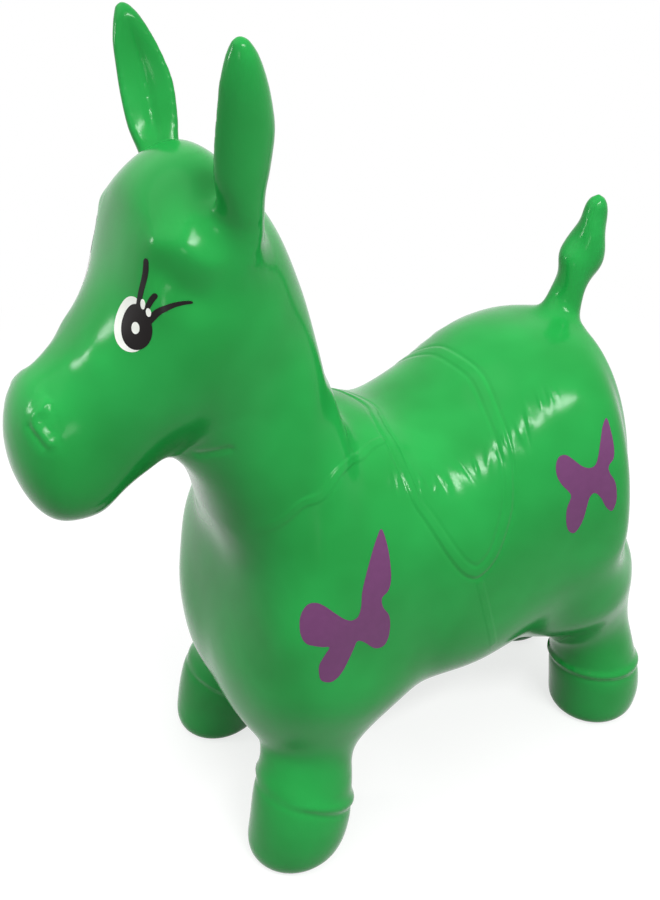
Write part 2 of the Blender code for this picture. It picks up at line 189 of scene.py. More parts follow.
# Body: the same sizes as the solid, in mm, with many more sections
body = {
    "chestX": -127, "trunkLength": 331, "backHeight": 340, "trunkWidth": 210, "rumpBulge": 21.6,
    "neckWidth": 124, "pollX": -75, "jawHeight": 286, "headLength": 150, "headDepth": 205, "headWidth": 126,
    "muzzleBulge": 25.5, "squareness": 2.3, "steps": 12, "segments": 180, "domeRings": 20,
    "swellLimit": 3,
    # back line x and z, belly line x and z, width, and how far up the section it is widest
    "trunk": [
        (0.885, 1.012, 0.952, 0.354, 0.76, 0.46), (0.814, 1.014, 0.898, 0.321, 1.01, 0.46),
        (0.695, 0.998, 0.741, 0.279, 0.98, 0.45), (0.560, 0.921, 0.590, 0.280, 0.975, 0.44),
        (0.448, 0.886, 0.444, 0.277, 0.98, 0.43), (0.349, 0.917, 0.375, 0.276, 0.96, 0.42),
        (0.287, 0.931, 0.071, 0.268, 0.97, 0.42), (0.277, 1.003, 0.005, 0.416, 0.876, 0.42),
        (0.257, 1.044, 0.043, 0.653, 0.69, 0.42),
    ],
    "neck": [(0.151, 0.223, 0.091, 0.223, 1.10, 0.44), (0.410, 0.584, 0.531, 0.684, 0.96, 0.46)],
    "head": [
        (0.000, 0.832, 0.430, 0.150, 1.00, 0.50), (0.240, 1.012, 0.510, 0.160, 1.06, 0.55),
        (0.494, 0.927, 0.578, 0.115, 0.95, 0.53), (0.628, 0.685, 0.716, 0.050, 0.82, 0.50),
        (0.818, 0.497, 0.776, 0.012, 0.70, 0.48), (0.913, 0.430, 0.897, 0.017, 0.63, 0.48),
    ],
    # place on the left side, reach and rise in mm: brow, eye hollow, cheek, nostril, chin, bridge of nose,
    # throat, shoulder, chest, top of front leg, belly, haunch; a swelling ends at swellLimit reaches
    "swellings": [(-139.5, -52.3, 456.2, 20, 5), (-129, -61.1, 427.5, 15, -3), (-153, -58, 372.1, 34, 3),
                  (-222, -30.2, 363.9, 10, 1), (-212, -24, 308, 30, 7), (-209, -8, 377, 15, 4),
                  (-140, -18, 316, 22, 8.5), (-103, -80, 204, 30, 7), (-112, -40, 236, 28, 3),
                  (-122, -60, 136, 24, -3.5), (50, -88, 132, 36, 5), (172, -98, 172, 24, -4)],
}


def between(rows, steps):           # more rows on a smooth curve through the rows given
    last = len(rows) - 1
    found = []
    for i in range(last):
        a, b, c, d = (np.array(rows[min(max(j, 0), last)], float) for j in (i - 1, i, i + 1, i + 2))
        for step in range(steps):
            t = step / steps
            found.append(0.5 * (2 * b + (c - a) * t + (2 * a - 5 * b + 4 * c - d) * t ** 2
                                + (3 * b - a - 3 * c + d) * t ** 3))
    found.append(np.array(rows[last], float))
    return found


def ovalLoop(centre, across, up, halfWidth, rise, drop, power, segments):
    points = []
    for i in range(segments):
        c, s = math.cos(math.tau * i / segments), math.sin(math.tau * i / segments)
        u = math.copysign(abs(c) ** (2 / power), c) * halfWidth
        v = math.copysign(abs(s) ** (2 / power), s) * (rise if s > 0 else drop)
        points.append(centre + across * u + up * v)
    return points


def finishedMesh(bm, name):
    bmesh.ops.recalc_face_normals(bm, faces=bm.faces)
    for face in bm.faces:
        face.smooth = True
    mesh = bpy.data.meshes.new(name)
    bm.to_mesh(mesh)
    bm.free()
    return mesh


def addBand(bm, a, b):              # faces between two loops; a loop of one point is a pole
    count = max(len(a), len(b))
    for i in range(count):
        j = (i + 1) % count
        corners = [a[i % len(a)], a[j % len(a)], b[j % len(b)], b[i % len(b)]]
        bm.faces.new(list(dict.fromkeys(corners)))


def loftMesh(name, loops):          # closed mesh through the loops
    bm = bmesh.new()
    rows = [[bm.verts.new(point) for point in loop] for loop in loops]
    for a, b in zip(rows, rows[1:]):
        addBand(bm, a, b)
    for row in (rows[0], rows[-1]):
        if len(row) > 1:
            bm.faces.new(row)
    return finishedMesh(bm, name)


def swell(point, centre):           # moves the skin out from the middle of its section, alike on both sides
    moved = 0
    for *place, reach, rise in body["swellings"]:
        away = (Vector((point.x, -abs(point.y), point.z)) / mm - Vector(place)).length / reach
        if away < body["swellLimit"]:
            moved += rise * mm * math.exp(-away ** 2)
    return point + (point - centre).normalized() * moved if moved else point


def bodySection(row, shift=0, turned=0):
    top = Vector((row[0], 0, row[1])) * mm
    low = Vector((row[2], 0, row[3])) * mm
    height = (top - low).length
    up = (top - low) / height
    size = math.cos(turned * math.pi / 2)
    centre = low.lerp(top, row[5]) + Vector((-up.z, 0, up.x)) * shift
    points = ovalLoop(centre, Vector((0, 1, 0)), up, row[4] * mm * size, height * (1 - row[5]) * size,
                      height * row[5] * size, body["squareness"], body["segments"])
    return [swell(point, centre) for point in points]


def bodyDome(row, depth):           # rounded end; a negative depth faces the rump
    loops = []
    for step in range(1, body["domeRings"]):
        turned = step / body["domeRings"]
        loops.append(bodySection(row, depth * math.sin(turned * math.pi / 2), turned))
    pole = bodySection(row, depth)
    quarter = body["segments"] // 4
    loops.append([(pole[quarter] + pole[-quarter]) / 2])
    return loops


def bodyRows(table, x, length, z, height, width):   # rows in mm from the table's shares
    return [(x + a * length, z + b * height, x + c * length, z + d * height, w * width / 2, m)
            for a, b, c, d, w, m in table]


def bodyMesh():
    rows = bodyRows(body["trunk"], body["chestX"], body["trunkLength"], 0, body["backHeight"],
                    body["trunkWidth"])
    head = bodyRows(body["head"], body["pollX"], -body["headLength"], body["jawHeight"], body["headDepth"],
                    body["headWidth"])
    neck = [[p + share * (q - p) for share, p, q in zip(places, rows[-1], head[0])]
            + [w * body["neckWidth"] / 2, m] for *places, w, m in body["neck"]]
    rows = between(rows + neck + head, body["steps"])
    loops = bodyDome(rows[0], -body["rumpBulge"] * mm)[::-1]
    loops += [bodySection(row) for row in rows]
    loops += bodyDome(rows[-1], body["muzzleBulge"] * mm)
    return loftMesh("body", loops)


# Legs, in mm: foot and hip in plan, what the ankle's radius gains, and the sole's shift in plan; then the
# outline from the sole up as height and radius. The coronet stands a little proud round the top of the hoof
# and slopes down to the heel.
legs = {
    "front": {"foot": (-95.5, 76), "hip": (-52, 45), "size": 1, "hipSize": 1, "curve": 1.1, "ankle": -2,
              "toe": (-1.5, -3)},
    "rear": {"foot": (201, 59), "hip": (158, 43), "size": 1.06, "hipSize": 0.92, "curve": 2.2, "ankle": 0,
             "toe": (-3, 0)},
    "hipHeight": 150, "hipStart": 100, "hipReach": 25, "curve": 1.5, "segments": 96, "steps": 8, "blend": 44,
    "outline": [(0, 26.4), (1.2, 29.4), (3.8, 31.8), (8.5, 33.8), (20, 35.2), (34, 35.6), (42, 35.2),
                (45.8, 34.3), (48.2, 35.3), (50.4, 36.3), (52.6, 35.9), (55, 34.4), (58, 33.5), (62, 33.2),
                (70, 32.5), (82, 31.5), (95.6, 33.5), (110.6, 38.6), (129.6, 47.1), (141.8, 44.6),
                (150, 36.4)],
    "toeHeight": 26, "ankleHeight": 82, "ankleReach": 18, "levelSole": 12, "levelBelow": 0.1,
    "coronet": 50, "coronetSlope": 0.24, "coronetReach": 42,
}


def legMesh(place, side):
    foot, hip, toe = (Vector((legs[place][spot][0], side * legs[place][spot][1])) * mm
                      for spot in ("foot", "hip", "toe"))
    lean = hip - foot
    curves = legs[place]["curve"], legs["curve"]
    loops = [[Vector((*(foot + toe), 0))]]
    for height, radius in between(legs["outline"], legs["steps"]):
        height = max(height, 0)
        upper = min(max((height - legs["hipStart"]) / legs["hipReach"], 0), 1)
        radius += legs[place]["ankle"] * math.exp(-((height - legs["ankleHeight"]) / legs["ankleReach"]) ** 2)
        radius *= legs[place]["size"] * (1 + (legs[place]["hipSize"] - 1) * upper) * mm
        toeShare = max(1 - height / legs["toeHeight"], 0) ** 2
        fromCoronet = (height - legs["coronet"]) / legs["coronetReach"]
        slope = legs["coronetSlope"] * max(1 - fromCoronet ** 2, 0) ** 2
        height *= mm
        shift = [lean[k] * (height / (legs["hipHeight"] * mm)) ** curves[k] for k in range(2)]
        tilt = min(height / (legs["levelSole"] * mm), 1)
        tilted = height > legs["levelBelow"] * mm
        slant = [curves[k] * shift[k] / height * tilt if tilted else 0 for k in range(2)]
        axis = Vector((*slant, 1)).normalized()
        across = Vector((0, 1, 0)).cross(axis).normalized()
        centre = Vector((*(foot + Vector(shift) + toe * toeShare), height))
        points = ovalLoop(centre, across, axis.cross(across), radius, radius, radius, 2, legs["segments"])
        loops.append([point - Vector((0, 0, slope * (point.x - centre.x))) for point in points])
    return loftMesh(place + "_leg", loops)


# Ears: base and the way to the tip in mm; then place along the ear, width, thickness, how far it sits back
# and how deep the inner face is scooped. A crease runs up the middle of the inner face.
ears = {
    "base": (-105, 50, 440.46), "reach": (-12, 38, 117), "width": 33, "thickness": 24, "facing": 83,
    "segments": 96, "steps": 8, "blend": 15, "crease": 0.16, "creaseWidth": 0.2,
    "rows": [
        (0.00, 0.60, 1.00, 0.00, 0.00), (0.17, 0.66, 1.00, 0.02, 0.10), (0.33, 0.78, 1.00, -0.01, 0.50),
        (0.45, 0.94, 0.98, 0.01, 0.85), (0.60, 0.99, 0.94, 0.06, 0.95), (0.73, 0.87, 0.88, 0.06, 0.85),
        (0.84, 0.70, 0.80, 0.04, 0.55), (0.93, 0.46, 0.62, 0.03, 0.20), (0.985, 0.23, 0.30, 0.01, 0.05),
    ],
}


def toSide(place, side):            # a place or a way with its y times the side
    return Vector((place[0], side * place[1], place[2]))


def earMesh(side):
    base = toSide(ears["base"], side) * mm
    tip = base + toSide(ears["reach"], side) * mm
    axis = (tip - base).normalized()
    turn = math.radians(ears["facing"])
    facing = Vector((-math.cos(turn), -side * math.sin(turn), 0))
    facing = (facing - axis * facing.dot(axis)).normalized()
    forward = axis.cross(facing)
    if forward.x > 0:
        forward = -forward
    loops = []
    for share, width, thickness, back, scoop in between(ears["rows"], ears["steps"]):
        half = thickness * ears["thickness"] * mm / 2
        centre = base.lerp(tip, share) - forward * back * ears["width"] * mm
        points = ovalLoop(centre, forward, facing, width * ears["width"] * mm / 2, half, half, 2,
                          ears["segments"])
        for i, point in enumerate(points):
            angle = math.tau * i / ears["segments"]
            hollow = scoop * max(math.sin(angle), 0) ** 2
            if math.sin(angle) > 0:
                crease = math.exp(-(math.cos(angle) / ears["creaseWidth"]) ** 2)
                hollow += min(scoop, 1) * ears["crease"] * crease
            points[i] = point - facing * hollow * half
        loops.append(points)
    loops.append([tip])
    return loftMesh("ear", loops)


# Tail: base and the way to the tip in mm, then place along it, radius share and sway back, with slanting
# plaits round it
tail = {
    "base": (157.935, 0, 322.58), "reach": (36, 0, 104), "radius": 15.5, "segments": 64, "steps": 6,
    "blend": 13,
    "rows": [(0.00, 0.72, 0.00), (0.18, 0.80, 0.05), (0.36, 0.77, 0.02), (0.47, 0.88, 0.05),
                 (0.56, 0.99, 0.03), (0.66, 0.90, 0.04), (0.74, 0.79, 0.00), (0.81, 0.69, -0.02),
                 (0.88, 0.59, -0.11), (0.94, 0.49, -0.20), (0.985, 0.27, -0.20)],
    "plait": 0.09, "plaitLength": 0.36, "plaitStart": 0.12, "plaitRise": 6, "plaitEnd": 0.95, "plaitFall": 8,
}


def tailMesh():
    base = Vector(tail["base"]) * mm
    tip = base + Vector(tail["reach"]) * mm
    axis = (tip - base).normalized()
    across = Vector((0, 1, 0))
    up = axis.cross(across)
    loops = []
    for share, radius, sway in between(tail["rows"], tail["steps"]):
        size = radius * tail["radius"] * mm
        rising = min(max((share - tail["plaitStart"]) * tail["plaitRise"], 0), 1)
        falling = min(max((tail["plaitEnd"] - share) * tail["plaitFall"], 0), 1)
        strength = tail["plait"] * rising * falling
        centre = base.lerp(tip, share) - up * sway * tail["radius"] * mm
        loop = []
        for i in range(tail["segments"]):
            angle = math.tau * i / tail["segments"]
            wave = math.cos(2 * angle + math.tau * share / tail["plaitLength"])
            out = across * math.cos(angle) + up * math.sin(angle)
            loop.append(centre + out * size * (1 + strength * wave))
        loops.append(loop)
    loops.append([tip - up * tail["rows"][-1][2] * tail["radius"] * mm])
    return loftMesh("tail", loops)


# The whole skin as one surface: the lofts are fused, and where a limb meets the body the skin runs over in a
# wide fillet, blend mm across. Sizes are in mm.
skin = {
    "voxel": 2.4, "settle": 3, "settleRelax": 2, "relaxShare": 0.5,
    # faces nearer than each reach to a fine detail are split in four, and the skin above the feet and below
    # the upper ears is smoothed that many times
    "reaches": [(4.5, 5), (2.4, 13)], "refineRelax": 3,
    "cuffs": (38, 60), "limbReach": 24, "limbAbove": 330,       # coronets, ears and tail are split once too
    # places on the left side and the reach where the skin is drawn smoother: withers, neck, brow, ear root in
    # two places, throat, chest
    "soften": [((-36, -52, 312), 50), ((-38, -82, 270), 44), ((-126, -60, 458), 16), ((-92, -62, 444), 16),
               ((-97, -59, 431), 20), ((-126, -20, 286), 40), ((-115, -12, 246), 36)],
    "softenTimes": 60, "firmBelow": 64, "firmAbove": 466,
}


def valuesOf(items, key, width, kind=float):        # one row of values for each item
    found = np.empty(len(items) * width, kind)
    items.foreach_get(key, found)
    return found.reshape(-1, width)


def meshArrays(mesh):
    return valuesOf(mesh.vertices, "co", 3), valuesOf(mesh.edges, "vertices", 2, int)


def relaxed(co, edges, weights, times):     # each point moves part of the way to the middle of its neighbours
    count = len(co)
    ends = np.concatenate([edges[:, 0], edges[:, 1]])
    others = np.concatenate([edges[:, 1], edges[:, 0]])
    number = np.maximum(np.bincount(ends, minlength=count), 1)
    for _ in range(times):
        middle = np.stack([np.bincount(ends, co[others, k], count) for k in range(3)], 1) / number[:, None]
        co = co + (middle - co) * weights[:, None]
    return co


def signedDistance(tree, point):
    place, normal, _, distance = tree.find_nearest(point)
    if (point - place).dot(normal) < 0:
        return -distance, normal
    return distance, normal


def settle(co, near):               # moves points onto the filleted surface of body and limbs
    for i in near:
        point = Vector(co[i])
        a, normal = signedDistance(bodyTree, point)
        step = a
        found = [(*signedDistance(tree, point), blend) for low, high, tree, blend in limbs
                 if all(low[k] < point[k] < high[k] for k in range(3))]
        if found:
            b, limbNormal, blend = min(found, key=lambda limb: limb[0])
            overlap = max(blend - abs(a - b), 0) / blend
            shareOfB = overlap / 2 if a < b else 1 - overlap / 2
            step = min(a, b) - overlap ** 2 * blend / 4
            normal = normal * (1 - shareOfB) + limbNormal * shareOfB
            normal.normalize()
        co[i] = point - normal * step
    return co


lofts = {"body": bodyMesh(), "tail": tailMesh()}
for side in (-1, 1):
    name = "left" if side < 0 else "right"
    lofts[name + "_ear"] = earMesh(side)
    for place in ("front", "rear"):
        lofts[name + "_" + place + "_leg"] = legMesh(place, side)

trees = {}
joined = bmesh.new()
for name, mesh in lofts.items():
    piece = bmesh.new()
    piece.from_mesh(mesh)
    trees[name] = BVHTree.FromBMesh(piece)
    piece.free()
    joined.from_mesh(mesh)
bodyTree = trees["body"]
limbs = []
for name, mesh in lofts.items():
    if name != "body":
        blend = (tail if name == "tail" else ears if name.endswith("ear") else legs)["blend"] * mm
        co = meshArrays(mesh)[0]
        limbs.append((co.min(0) - blend, co.max(0) + blend, trees[name], blend))
skinMesh = bpy.data.meshes.new("skin")
joined.to_mesh(skinMesh)
joined.free()
skinObject = addObject("skin", skinMesh)
remesh = skinObject.modifiers.new("fuse", "REMESH")
remesh.mode = "VOXEL"
remesh.voxel_size = skin["voxel"] * mm
fused = bpy.data.meshes.new_from_object(skinObject.evaluated_get(bpy.context.evaluated_depsgraph_get()))
skinObject.modifiers.clear()
skinObject.data = fused
print("stage: skin fused,", len(fused.vertices), "points")


def softness(points):               # 1 in the middle of the softened places, 0 outside them
    half = np.stack([points[:, 0], -np.abs(points[:, 1]), points[:, 2]], 1) / mm
    found = np.zeros(len(points))
    for place, reach in skin["soften"]:
        away = np.clip(np.linalg.norm(half - place, axis=1) / reach * 2 - 1, 0, 1)
        found = np.maximum(found, 1 - away * away * (3 - 2 * away))
    return found


co, edges = meshArrays(fused)
for _ in range(skin["settle"]):
    co = settle(co, range(len(co)))
    co = relaxed(co, edges, np.full(len(co), skin["relaxShare"]), skin["settleRelax"])
co = relaxed(co, edges, softness(co) * skin["relaxShare"], skin["softenTimes"])
fused.vertices.foreach_set("co", co.ravel())
print("stage: skin settled")

# Valve: a soft boss through the belly and a stopper pressed into it, in mm; profiles are radius and height
valve = {
    "x": 42.43, "bottom": 93.93, "bossRadius": 11, "hole": 9.8, "holeDepth": 10, "segments": 72,
    "boss": [(8.3, 0.7), (8.5, 0.2), (9, 0), (10.3, 0), (10.8, 0.2), (11, 0.7), (11, 4.5), (11.4, 4.9),
             (15.6, 4.9), (16, 5.3), (16, 6.1), (15.6, 6.5), (11.4, 6.5), (11, 6.9), (11, 13.4),
             (10.6, 13.8), (4.6, 13.8), (4.2, 13.4), (4.2, 2.9), (4.5, 2.5), (8, 2.5), (8.3, 2.2)],
    "stopper": [(0, 0.6), (3, 0.6), (3.8, 0.45), (4.6, 0.1), (5.2, 0), (7.2, 0), (7.8, 0.3), (8, 0.9),
                (7.95, 1.7), (7.6, 2.15), (7, 2.2), (4.3, 2.2), (3.9, 2.6), (3.3, 13.8), (2.8, 14.8),
                (2, 15), (0, 15)],
}


# Relief moulded into the skin, in mm. Places are on the left side and mirror to the right.
relief = {
    # saddle: x, and how far down round the barrel from the middle of the back
    "saddle": [(1.5, -30), (1.5, 3), (-3, 20), (-6.5, 38), (-6.3, 50), (-7.8, 69), (-7.6, 80), (-5.5, 93),
               (1.8, 108.4), (10, 125), (18.8, 138), (27, 144.6), (34.9, 146), (45.5, 140.7), (53.2, 131.4),
               (63.3, 112), (67.9, 94.5), (71.4, 76.7), (73.9, 52.2), (76.2, 38), (78.9, 22.3), (79, 5),
               (79, -30)],
    "barrelMiddle": 230, "barrelRadius": 85, "barrelEnds": (-30, 110), "barrelAbove": 120, "offBarrel": -100,
    "saddleRise": 0.7, "saddleEdge": 1.3, "groove": -0.8, "grooveDepth": 0.45, "grooveWidth": 1.5,
    "welt": 7, "weltDepth": 0.5, "weltWidth": 1.5,
    "straps": [
        [(-6, -44, 304), (-19.4, -47.2, 302.8), (-32, -56, 303), (-44.1, -64.2, 306.2),
         (-57.3, -71.7, 305), (-70.5, -74.6, 294), (-81.8, -70, 289), (-92.3, -67.5, 280),
         (-103.2, -58.4, 270.8), (-111.6, -42.6, 262), (-119, -21, 257), (-121, 0, 256)],
        [(35, -101.8, 209), (38.8, -102.6, 194.8), (44.2, -102.3, 175.3), (52.4, -96.6, 150.1)],
    ],
    "strapWidth": 5.5, "strapEdge": 1.2, "strapGap": 1, "strapRise": 0.65, "girthRise": 0.3,
    "strapFade": (-112, -80, 0.08), "pathSteps": 6, "ridgeSteps": 4,
    "wrinkleRow": [(-19.9, -65.3, 290), (-10.7, -68.7, 285.5), (0.8, -68.7, 282.3), (13.4, -71, 277.7),
                   (27.1, -71.5, 276.5), (43.2, -71, 280), (59.3, -70, 286), (79.5, -73.7, 293.9),
                   (89.7, -69.6, 304.6), (103.5, -66.3, 314.9), (112, -65, 319)],
    "wrinkles": 30, "wrinkleDepth": 0.44, "wrinkleWidth": 1.7, "wrinkleLength": 9, "wrinkleLimit": 3,
    "wrinkleNear": 1.6, "rippleEvery": 4, "rippleWidth": 2.6, "seed": 7,
    # how far chance moves and turns a wrinkle, and the shares of its width, length and depth
    "wrinklePlace": 0.35, "wrinkleTurn": 0.3, "wrinkleDrift": 4,
    "widths": (0.8, 1.3), "lengths": (0.6, 1.1), "depths": (0.6, 1.3),
    # path, width of the Gaussian and height: brow, eye hollow, the nostril's rim, hollow and outer groove,
    # muzzle, jaw fold; a wide ridge needs no fine mesh
    "wideRidge": 4, "wideMargin": 2,
    "ridges": [
        ([(-150.5, -47.5, 456), (-141.9, -57.4, 455.3), (-134.6, -62, 451.9), (-127.5, -63.9, 447.1)],
         8, 1.5),
        ([(-152.5, -53.7, 440), (-146.7, -59, 435.3), (-137.5, -62.6, 428.3)], 8.5, -1.8),
        ([(-214.8, -24.3, 368), (-218.3, -26.1, 366), (-222.1, -26.6, 362.5), (-222.6, -29.5, 358),
          (-220.4, -32.5, 354.6), (-217.5, -35.7, 349.2)], 2.9, 1.1),
        ([(-217, -31.5, 361.5), (-216, -34, 357)], 4.6, -1.1),
        ([(-226, -25.8, 357), (-223.5, -31, 352.5), (-221, -34.5, 348)], 2, -0.6),
        ([(-185.8, -25.8, 391), (-185, -32.6, 387)], 9, 0.9),
        ([(-132.3, -37.9, 323.4), (-119.2, -51.7, 328.2)], 3, -1.0),
    ],
}


def smoothStep(low, high, value):
    t = np.clip((value - low) / (high - low), 0, 1)
    return t * t * (3 - 2 * t)


def pathDistance(points, path):     # distance of each point from a chain of straight lines
    best = np.full(len(points), np.inf)
    for a, b in zip(path, path[1:]):
        a, b = np.array(a, float), np.array(b, float)
        along = np.clip((points - a) @ (b - a) / ((b - a) @ (b - a)), 0, 1)
        best = np.minimum(best, np.linalg.norm(points - a - along[:, None] * (b - a), axis=1))
    return best


def insideOutline(points, outline):
    inside = np.zeros(len(points), bool)
    for (ax, ay), (bx, by) in zip(outline, outline[1:] + outline[:1]):
        crosses = (ay > points[:, 1]) != (by > points[:, 1])
        inside ^= crosses & (points[:, 0] < (bx - ax) * (points[:, 1] - ay) / (by - ay + 1e-12) + ax)
    return inside


def smoothPath(path, steps):
    return [tuple(row) for row in between(path, steps)]


def onSkin(tree, path):             # moves the points of a path in mm onto the skin
    return [tuple(tree.find_nearest(Vector(point) * mm)[0] / mm) for point in path]


saddleOutline = smoothPath(relief["saddle"], relief["pathSteps"])


def reliefHeight(points, paths):    # height in mm, and distance in mm from the nearest fine detail
    half = np.stack([points[:, 0], -np.abs(points[:, 1]), points[:, 2]], 1)
    aroundBarrel = np.arctan2(-half[:, 1], half[:, 2] - relief["barrelMiddle"]) * relief["barrelRadius"]
    unrolled = np.stack([half[:, 0], aroundBarrel], 1)
    fromEdge = pathDistance(unrolled, saddleOutline + saddleOutline[:1])
    depth = np.where(insideOutline(unrolled, saddleOutline), fromEdge, -fromEdge)
    low, high = relief["barrelEnds"]
    onBarrel = (half[:, 0] > low) & (half[:, 0] < high) & (half[:, 2] > relief["barrelAbove"])
    depth = np.where(onBarrel, depth, relief["offBarrel"])
    height = relief["saddleRise"] * smoothStep(-relief["saddleEdge"], relief["saddleEdge"], depth)
    height -= relief["weltDepth"] * np.exp(-((depth - relief["welt"]) / relief["weltWidth"]) ** 2)
    height -= relief["grooveDepth"] * np.exp(-((depth - relief["groove"]) / relief["grooveWidth"]) ** 2)
    near = np.minimum(np.abs(depth), np.abs(depth - relief["welt"]))
    low, high, least = relief["strapFade"]
    fade = least + (1 - least) * smoothStep(low, high, half[:, 0])
    edge = relief["strapWidth"] / 2
    for path, rise in zip(paths["straps"], (relief["strapRise"], relief["girthRise"])):
        away = pathDistance(half, path)
        band = rise * fade * smoothStep(edge + relief["strapEdge"], edge - relief["strapEdge"], away)
        height += band * (depth < -relief["strapGap"])
        near = np.minimum(near, np.abs(away - edge))
    for path, width, rise in paths["ridges"]:
        away = pathDistance(half, path)
        height += rise * np.exp(-(away / width) ** 2)
        margin = relief["wideMargin"] if width > relief["wideRidge"] else 0
        near = np.minimum(near, np.maximum(away - 2 * width, 0) + margin)
    for place, along, across, width, length, strength in paths["wrinkles"]:
        gap = half - place
        close = np.where(np.abs(gap).max(1) < relief["wrinkleLimit"] * length)[0]
        u, v = gap[close] @ along, gap[close] @ across
        height[close] += strength * np.exp(-(u / width) ** 2 - (v / length) ** 2)
    rowGap = pathDistance(half, paths["wrinkleRow"]) - relief["wrinkleNear"] * relief["wrinkleLength"]
    near = np.minimum(near, np.maximum(rowGap, 0))
    bossGap = np.linalg.norm(half - [valve["x"], 0, valve["bottom"]], axis=1) - valve["bossRadius"]
    return height, np.minimum(near, np.maximum(bossGap, 0))


def reliefPaths(tree):
    row = onSkin(tree, smoothPath(relief["wrinkleRow"], relief["pathSteps"]))
    chance = np.random.default_rng(relief["seed"])
    most, turn, drift = relief["wrinklePlace"], relief["wrinkleTurn"], relief["wrinkleDrift"]
    wrinkles = []
    for k in range(relief["wrinkles"]):
        place = (k + chance.uniform(-most, most)) / (relief["wrinkles"] - 1) * (len(row) - 1)
        i = int(min(max(place, 0), len(row) - 2))
        centre = Vector(row[i]).lerp(Vector(row[i + 1]), place - i)
        normal = tree.find_nearest(centre * mm)[1]
        along = (Vector((1, 0, 0)) - normal * normal.x).normalized()
        along = (along + normal.cross(along) * chance.uniform(-turn, turn)).normalized()
        across = normal.cross(along).normalized()
        centre += across * chance.uniform(-drift, drift)
        ripple = k % relief["rippleEvery"] == 0
        width = relief["rippleWidth"] if ripple else chance.uniform(*relief["widths"])
        length = relief["wrinkleLength"] * chance.uniform(*relief["lengths"])
        depth = relief["wrinkleDepth"] * chance.uniform(*relief["depths"]) * (1 if k % 2 else -1)
        wrinkles.append((np.array(centre), np.array(along), np.array(across),
                         relief["wrinkleWidth"] * width, length, depth))
    straps = [onSkin(tree, smoothPath(path, relief["pathSteps"])) for path in relief["straps"]]
    ridges = [(onSkin(tree, smoothPath(path, relief["ridgeSteps"])), width, rise)
              for path, width, rise in relief["ridges"]]
    return {"straps": straps, "ridges": ridges, "wrinkles": wrinkles, "wrinkleRow": row}


def limbDistance(points):           # from each point to the middle line of the nearest ear or tail, in mm
    lines = [np.array([part["base"], np.add(part["base"], part["reach"])]) * [1, side, 1]
             for part, side in ((ears, -1), (ears, 1), (tail, 1))]
    return np.min([pathDistance(points, line) for line in lines], axis=0)


def refined(mesh, wanted):          # splits the wanted faces in four
    bm = bmesh.new()
    bm.from_mesh(mesh)
    bm.faces.ensure_lookup_table()
    edges = {edge for face in bm.faces if wanted[face.index] for edge in face.edges}
    bmesh.ops.subdivide_edges(bm, edges=list(edges), cuts=1, use_grid_fill=True)
    bm.to_mesh(mesh)
    bm.free()


skinTree = BVHTree.FromPolygons([vertex.co for vertex in fused.vertices],
                                [polygon.vertices for polygon in fused.polygons])
paths = reliefPaths(skinTree)
for reach, times in skin["reaches"]:
    centres = valuesOf(fused.polygons, "center", 3) / mm
    wanted = reliefHeight(centres, paths)[1] < reach
    if reach == skin["reaches"][0][0]:
        low, high = skin["cuffs"]
        wanted |= (centres[:, 2] > low) & (centres[:, 2] < high)
        wanted |= (limbDistance(centres) < skin["limbReach"]) & (centres[:, 2] > skin["limbAbove"])
    settled = len(co)
    refined(fused, wanted)
    co, edges = meshArrays(fused)
    soft = softness(co)[:, None]
    loose = (co[:, 2] > skin["firmBelow"] * mm) & (co[:, 2] < skin["firmAbove"] * mm)
    moving = np.where((np.arange(len(co)) >= settled) | ~loose)[0]
    co = co * soft + settle(co.copy(), moving) * (1 - soft)
    co = relaxed(co, edges, np.full(len(co), skin["relaxShare"]), skin["refineRelax"])
    co = relaxed(co, edges, loose * skin["relaxShare"], times)
    fused.vertices.foreach_set("co", co.ravel())
    fused.update()
    print("stage: skin refined to", len(co), "points")


height = reliefHeight(co / mm, paths)[0]
co += valuesOf(fused.vertex_normals, "vector", 3) * height[:, None] * mm
fused.vertices.foreach_set("co", co.ravel())
fused.update()
print("stage: relief moulded")

# The skin is divided where it starts to give: four feet, two ears and the tail become pieces of their own. In
# mm:
# height of the cut, where the folding starts and ends, and how wide a piece is taken.
folds = {
    "footCut": 92, "footStart": 28, "footEnd": 90, "footReach": 62, "towardsHip": 0.3, "startPastCut": 2,
    "earUp": (0, -0.45, 0.89), "earCut": 24, "earEnd": 52, "earReach": 27,
    "tailCut": 21, "tailEnd": 50, "tailReach": 22,
}
normals = valuesOf(fused.vertex_normals, "vector", 3)
centres = valuesOf(fused.polygons, "center", 3) / mm
owner = np.zeros(len(centres), int)
pieces = [("body", "skin", None, None, None, ["haunches", "trunk", "shoulders", "neck", "head", "muzzle"])]


def takeFaces(name, line, direction, cut, end, reach, joint, nodes):
    direction = Vector(direction).normalized()
    foot = Vector(line[0])
    height = (centres - np.array(foot)) @ np.array(direction)
    owner[(pathDistance(centres, line) < reach) & (height > cut) & (owner == 0)] = len(pieces)
    start = foot + direction * (cut + folds["startPastCut"])
    pieces.append((name, "skin", joint, start * mm, (foot + direction * end) * mm, nodes))


